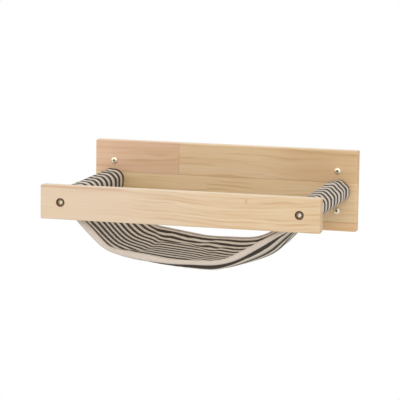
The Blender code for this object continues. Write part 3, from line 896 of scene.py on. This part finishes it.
def wrinkles(around, back, seed):
    """Soft ridges that run round an arm, each a little askew, as a height for each point."""
    draw = np.random.default_rng(seed)
    total = np.zeros(around.shape)
    for _ in range(WRINKLES):
        middle = draw.uniform(0.0, BED_WIDTH)
        slope = draw.uniform(-0.35, 0.35)
        width = draw.uniform(0.005, 0.012)
        start = draw.uniform(0.0, 0.12)
        reach = draw.uniform(0.02, 0.05)
        lift = draw.uniform(0.4, 1.0) * WRINKLE_HEIGHT
        ridge = np.exp(-(((back - middle - slope * (around - start)) / width) ** 2))
        total += lift * ridge * np.exp(-(((around - start) / reach) ** 2))
    return total


def wander(across, back, seed):
    """A smooth, seeded drift of the stripes over a cloth."""
    draw = np.random.default_rng(seed)
    total = np.zeros(across.shape)
    for _ in range(WANDER_WAVES):
        turn_a, turn_b = draw.uniform(-WANDER_TURN, WANDER_TURN, 2)
        total += np.sin(turn_a * across + turn_b * back + draw.uniform(0.0, math.tau))
    return total * STRIPE_WANDER / math.sqrt(WANDER_WAVES)


def sleeve(arm_x, seam, bed, seed, outer_side):
    """The outer and inner faces of the cloth round an arm, as grids like the bed's."""
    line = sleeve_line(arm_x, seam, outer_side < 0)
    along = unit(np.gradient(line, axis=0))
    normal = np.stack([along[:, 1], -along[:, 0]], axis=-1)
    y = bed.front + (bed.rear - bed.front) * bed.back
    around = lengths_along(line)
    around_grid, back = np.meshgrid(around, y - bed.front, indexing="ij")
    from_seam = np.minimum(around_grid, around[-1] - around_grid)
    calm = np.clip(from_seam / SLEEVE_CALM, 0.0, 1.0)
    from_end = np.minimum(back, back[:, -1:] - back)
    hem = np.clip((HEM_WIDTH + HEM_RISE / 2 - from_end) / HEM_RISE, 0.0, 1.0)
    from_axis = np.stack([(line[:, 0] - arm_x) * outer_side, line[:, 1]])
    from_corner = np.abs(from_axis).min(axis=0) - SLEEVE_CORNER
    corner = np.clip(from_corner / SLEEVE_CORNER, 0.0, 1.0)[:, None]
    loose = calm * (1.0 - SLEEVE_CORNER_PULL * corner)
    slack = wrinkles(around_grid, back, seed) * loose
    outside = np.clip(from_axis[0] / SLEEVE_SIDE, 0.0, 1.0)[:, None]
    under = np.clip(-from_axis[1] / SLEEVE_SIDE, 0.0, 1.0)[:, None]
    slack = slack + SLEEVE_BAG * loose * outside * np.clip(back / SLEEVE_BAG_REACH, 0.0, 1.0)
    droop = np.exp(-(((back - SLEEVE_SAG_PLACE) / SLEEVE_SAG_PLACE) ** 2))
    slack = slack + SLEEVE_SAG * calm * outside * under * droop
    faces = []
    for lift in (slack + CLOTH + HEM_LIFT * hem, slack):
        x = line[:, :1] + normal[:, :1] * lift
        z = line[:, 1:] + normal[:, 1:] * lift
        faces.append(np.stack([x, np.broadcast_to(y, x.shape), z], axis=-1))
    return faces


def make_cover(bed, bottom, material):
    """One striped cloth, round the left arm, under the bed and round the right arm."""
    inner_bottom = bottom + grid_normals(bottom) * CLOTH
    left = sleeve(-ARM_X, LEFT_SEAM, bed, seed=11, outer_side=-1.0)
    right = sleeve(ARM_X, RIGHT_SEAM, bed, seed=23, outer_side=1.0)
    outer = np.concatenate([left[0], bottom, right[0]])
    inner = np.concatenate([left[1], inner_bottom, right[1]])
    across = lengths_along(outer)
    ends = np.broadcast_to((bed.back * (bed.rear - bed.front))[None, :], left[0].shape[:2])
    back = joined_stripes(across, flat_back(bottom), ends)
    flat = flat_grid(across, back + wander(across, back, seed=31))
    return closed_sheet("bed_cover", outer, inner, material, flat, flip=True), flat


def fade(distance, reach):
    """Falls smoothly from 1 at no distance to 0 at the reach."""
    share = np.clip(1.0 - distance / reach, 0.0, 1.0)
    return share * share * (3.0 - 2.0 * share)


def joined_stripes(across, bed_back, sleeve_back):
    """How far back each point of the cover lies on the flat cloth. The bed and a sleeve differ
    where they meet, and the sleeve gives way there, smoothly."""
    lines = len(sleeve_back)
    back = np.concatenate([sleeve_back, bed_back, sleeve_back])
    left_gap = bed_back[0] - sleeve_back[-1]
    right_gap = bed_back[-1] - sleeve_back[0]
    back[:lines] += left_gap * fade(across[lines] - across[:lines], SLEEVE_BLEND)
    back[-lines:] += right_gap * fade(across[-lines:] - across[-lines - 1], SLEEVE_BLEND)
    return back


def flat_back(face):
    """How far back each point of a face lies on the flat cloth. Both free edges are threads of
    the cloth, so the stripes run along them."""
    back = lengths_along(face, 1)
    return np.interp(back / back[:, -1:] * BED_WIDTH, EDGE_DISTANCES, EDGE_FLAT_PLACES)


def make_lining(top, material):
    """The striped cloth inside the bed."""
    inner = top - grid_normals(top) * CLOTH
    across = lengths_along(top)
    back = flat_back(top)
    flat = flat_grid(across, back + wander(across, back, seed=37))
    return closed_sheet("bed_lining", top, inner, material, flat), flat


def tape_profile(top, bottom, edge, inwards, outwards, depth):
    """Grid of points along a bound edge: over the lining, round the edge and a little under."""
    lines = []
    lap = max(1, round(TAPE_LAP / (BED_WIDTH / ROWS)))
    reach_top = [edge + inwards * k for k in range(lap, -1, -1)]
    up = grid_normals(top)
    down = -grid_normals(bottom)
    for i in range(1, STEPS):
        over = [top[i, j] + up[i, j] * depth for j in reach_top]
        start, end = over[-1], bottom[i, edge] + down[i, edge] * depth
        middle = (start + end) / 2
        half = (start - end) / 2
        fold = []
        for angle in np.linspace(math.pi / 2, -math.pi / 2, TAPE_FOLD_POINTS):
            out = Vector((0.0, outwards, 0.0)) * (TAPE_BULGE + depth) * math.cos(angle)
            fold.append(middle + half * math.sin(angle) + np.array(out))
        next_row = edge + inwards
        way = unit(bottom[i, next_row] - bottom[i, edge])
        under = [end + way * TAPE_UNDER_LAP * share for share in (0.5, 1.0)]
        lines.append(over[:-1] + fold + under)
    return np.array(lines)


def make_binding(name, top, bottom, rear, material):
    """The tape over the front or the rear edge, its outer face and its places on the flat tape."""
    edge, inwards, outwards = (ROWS, -1, 1.0) if rear else (0, 1, -1.0)
    outer = tape_profile(top, bottom, edge, inwards, outwards, TAPE_EASE + TAPE)
    inner = tape_profile(top, bottom, edge, inwards, outwards, TAPE_EASE)
    flat = flat_grid(lengths_along(outer), lengths_along(outer, 1))
    return closed_sheet(name, outer, inner, material, flat, flip=not rear), outer, flat


def spot_along(values, along, place):
    """The values of a line's points, at a place between them."""
    return np.array([np.interp(place, along, values[:, axis]) for axis in range(3)])


def stitch_line(name, points, normals, material, radius, sink):
    """A row of thread stitches along a line that lies on the cloth."""
    along = lengths_along(points)
    count = int(along[-1] / STITCH_PITCH)
    centres = (np.arange(count) + 0.5) * along[-1] / count
    vertices, faces = [], []
    sides, rings = STITCH_SIDES, STITCH_RINGS
    for centre in centres:
        start = spot_along(points, along, centre - STITCH_LENGTH / 2)
        end = spot_along(points, along, centre + STITCH_LENGTH / 2)
        up = unit(spot_along(normals, along, centre))
        side = np.cross(unit(end - start), up)
        base = len(vertices)
        for ring in range(rings):
            share = ring / (rings - 1)
            swell = math.sin(math.pi * (STITCH_END + (1.0 - 2.0 * STITCH_END) * share))
            middle = start + (end - start) * share + up * radius * (swell - sink)
            for k in range(sides):
                angle = math.tau * k / sides
                spot = side * math.cos(angle) + up * math.sin(angle)
                vertices.append(middle + spot * radius * swell)
        for ring in range(rings - 1):
            for k in range(sides):
                a = base + ring * sides + k
                b = base + ring * sides + (k + 1) % sides
                faces.append((a, b, b + sides, a + sides))
        faces.append(tuple(base + k for k in range(sides - 1, -1, -1)))
        faces.append(tuple(base + (rings - 1) * sides + k for k in range(sides)))
    return new_piece(name, vertices, faces, material)


def make_camera():
    """The camera at the photograph's angle, turned a little about its own axis."""
    reach = math.cos(ELEVATION)
    back = Vector((math.sin(AZIMUTH) * reach, -math.cos(AZIMUTH) * reach, math.sin(ELEVATION)))
    level = Vector((math.cos(AZIMUTH), math.sin(AZIMUTH), 0.0))
    upright = back.cross(level)
    right = level * math.cos(ROLL) + upright * math.sin(ROLL)
    up = upright * math.cos(ROLL) - level * math.sin(ROLL)
    camera = bpy.data.objects.new("camera", bpy.data.cameras.new("camera"))
    camera.data.lens = LENS
    camera.data.sensor_width = SENSOR
    camera.data.clip_end = 100.0
    turned = Matrix((right, up, back)).transposed().to_4x4()
    camera.matrix_world = Matrix.Translation(TARGET + back * DISTANCE) @ turned
    bpy.context.scene.collection.objects.link(camera)
    bpy.context.scene.camera = camera


def make_world(level):
    """Even light from all round. The camera, and what metal reflects, sees plain white."""
    world = bpy.data.worlds.new("studio")
    bpy.context.scene.world = world
    world.use_nodes = True
    tree = world.node_tree
    light = tree.nodes["Background"]
    white = tree.nodes.new("ShaderNodeBackground")
    for background, strength in ((light, level), (white, 1.0)):
        background.inputs["Color"].default_value = (1.0, 1.0, 1.0, 1.0)
        background.inputs["Strength"].default_value = strength
    path = tree.nodes.new("ShaderNodeLightPath")
    seen = path.outputs["Is Camera Ray"]
    for ray in ("Is Transmission Ray", "Is Glossy Ray"):
        either = tree.nodes.new("ShaderNodeMath")
        either.operation = "MAXIMUM"
        tree.links.new(seen, either.inputs[0])
        tree.links.new(path.outputs[ray], either.inputs[1])
        seen = either.outputs[0]
    mixed = tree.nodes.new("ShaderNodeMixShader")
    tree.links.new(seen, mixed.inputs["Fac"])
    tree.links.new(light.outputs[0], mixed.inputs[1])
    tree.links.new(white.outputs[0], mixed.inputs[2])
    tree.links.new(mixed.outputs[0], tree.nodes["World Output"].inputs["Surface"])


def floor_material():
    """Pale floor that keeps the object's shadow near it and turns plain white further out."""
    nodes = Nodes("floor")
    x, y, _ = nodes.separate(nodes.object_place())
    fading = nodes.between(nodes.length(x, y), *FLOOR_FADE)
    nodes.finish(srgb((240, 239, 237)), 0.9, {"Specular IOR Level": 0.1})
    glow = nodes.add("ShaderNodeEmission", {"Color": (1.0, 1.0, 1.0, 1.0), "Strength": 1.0})
    path = nodes.add("ShaderNodeLightPath")
    share = nodes.times(fading, path.outputs["Is Camera Ray"])
    inputs = {"Fac": share, 1: nodes.shader.outputs[0], 2: glow.outputs[0]}
    mixed = nodes.add("ShaderNodeMixShader", inputs).outputs[0]
    nodes.feed(nodes.output.inputs["Surface"], mixed)
    return nodes.material


def make_floor():
    half = FLOOR_SIZE / 2
    z = -FLOOR_DROP
    corners = [(-half, -half, z), (half, -half, z), (half, half, z), (-half, half, z)]
    new_piece("floor", corners, [(0, 1, 2, 3)], floor_material())


def make_lamp(name, place, power):
    lamp = bpy.data.objects.new(name, bpy.data.lights.new(name, "AREA"))
    lamp.data.shape = "DISK"
    lamp.data.size = LAMP_SIZE
    lamp.data.energy = power
    lamp.location = place
    way = Vector(LAMP_AIM) - Vector(place)
    lamp.rotation_euler = way.to_track_quat("-Z", "Y").to_euler()
    bpy.context.scene.collection.objects.link(lamp)


def make_light():
    make_world(WORLD_LEVEL)
    make_lamp("key", KEY_PLACE, KEY_POWER)
    make_lamp("fill", FILL_PLACE, FILL_POWER)


def finish_frame(nodes):
    """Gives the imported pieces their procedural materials."""
    finishes = {
        "back_board": board_wood(),
        "front_rail": rail_wood(),
        ("left_arm", "right_arm"): arm_wood(),
        ("rail_washer", "arm_screw"): metal("zinc_steel", (176, 174, 168), (150, 148, 142), 0.34),
        "wall_screw": wall_screw_metal(),
        "thread_insert": metal("insert_brass", (204, 172, 104), (180, 146, 84), 0.3),
        "rail_bolt": bolt_metal(),
    }
    for name, node in nodes.items():
        for start, finish in finishes.items():
            if name.startswith(start):
                node.data.materials.clear()
                node.data.materials.append(finish)


def make_wadding(top, bottom):
    """The padding between the two cloths, cut a little smaller than they are."""
    inside = CLOTH + FREE
    upper = top - grid_normals(top) * inside
    lower = bottom + grid_normals(bottom) * inside
    lines, rows = WADDING_INSET
    upper, lower = (face[lines:-lines, rows:-rows] for face in (upper, lower))
    return closed_sheet("bed_wadding", upper, lower, wadding_material(), np.zeros_like(upper))


def make_bed():
    """The bed's cloths, wadding, bindings and stitches, and what they stand for."""
    bed = Bed(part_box("front_rail")[1].y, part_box("back_board")[0].y)
    top = bed.layer(1, FREE + CLOTH)
    bottom = bed.layer(-1, FREE + CLOTH)
    filled_top, filled_bottom = simulated(top, bottom)
    top = capped(top, filled_top, TOP_SWELL)
    bottom = capped(bottom, filled_bottom, BOTTOM_SWELL)
    striped = cloth_material("striped_cloth", True)
    lining_cloth = cloth_material("lining_cloth", True)
    tape_cloth = cloth_material("binding_tape", False)
    thread = thread_material("cream_thread", (212, 198, 178))
    dark_thread = thread_material("brown_thread", (92, 76, 62))

    cover, cover_flat = make_cover(bed, bottom, striped)
    lining, lining_flat = make_lining(top, lining_cloth)
    front, front_outer, front_flat = make_binding("bed_binding_front", top, bottom, False, tape_cloth)
    rear, rear_outer, rear_flat = make_binding("bed_binding_rear", top, bottom, True, tape_cloth)
    wadding = make_wadding(top, bottom)
    for piece in (cover, lining, front, rear):
        soften(piece)

    for piece, node, slot in (
        (cover, "sling_cover", "striped_cloth"),
        (lining, "sling_lining", "lining_cloth"),
        (wadding, "sling_wadding", "wadding"),
        (front, "binding_front", "binding_tape"),
        (rear, "binding_rear", "binding_tape"),
    ):
        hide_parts(node)
        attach(piece, "root")

    make_stitches(bottom, front_outer, rear_outer, thread, dark_thread)


def wadding_material():
    nodes = Nodes("wadding")
    place = nodes.object_place()
    fluff = nodes.noise(place, (400.0, 400.0, 400.0), 4.0, 0.7)
    colour = nodes.mix(nodes.between(fluff, 0.3, 0.7), srgb((236, 232, 224)), srgb((220, 214, 204)))
    nodes.bump(fluff, 0.0006, 0.8)
    return nodes.finish(colour, 1.0)


def make_stitches(bottom, front_outer, rear_outer, thread, dark_thread):
    """Thread along the bindings, and the row that holds the wadding beside them."""
    rows = []
    for mark, outer, turn in (("front", front_outer, -1.0), ("rear", rear_outer, 1.0)):
        normal = grid_normals(outer) * turn
        points = outer[:, 0] * (1.0 - LAP_ROW) + outer[:, 1] * LAP_ROW
        name = "stitches_lap_" + mark
        rows.append(stitch_line(name, points, normal[:, 1], thread, LAP_RADIUS, LAP_SINK))
    under = -grid_normals(bottom)
    row, part = int(QUILT_ROW), QUILT_ROW % 1.0
    inner = slice(QUILT_ENDS, -QUILT_ENDS)
    for mark, near, far in (("front", row, row + 1), ("rear", ROWS - row, ROWS - row - 1)):
        points = bottom[inner, near] * (1.0 - part) + bottom[inner, far] * part
        name = "quilting_" + mark
        rows.append(stitch_line(name, points, under[inner, near], dark_thread, QUILT_RADIUS, QUILT_SINK))
    for piece in rows:
        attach(piece, "root")


def main():
    for old in list(bpy.data.objects):
        bpy.data.objects.remove(old, do_unlink=True)
    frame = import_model()
    bpy.context.scene.view_settings.view_transform = "Standard"
    make_camera()
    make_floor()
    make_light()
    finish_frame(frame["nodes"])
    make_bed()


main()
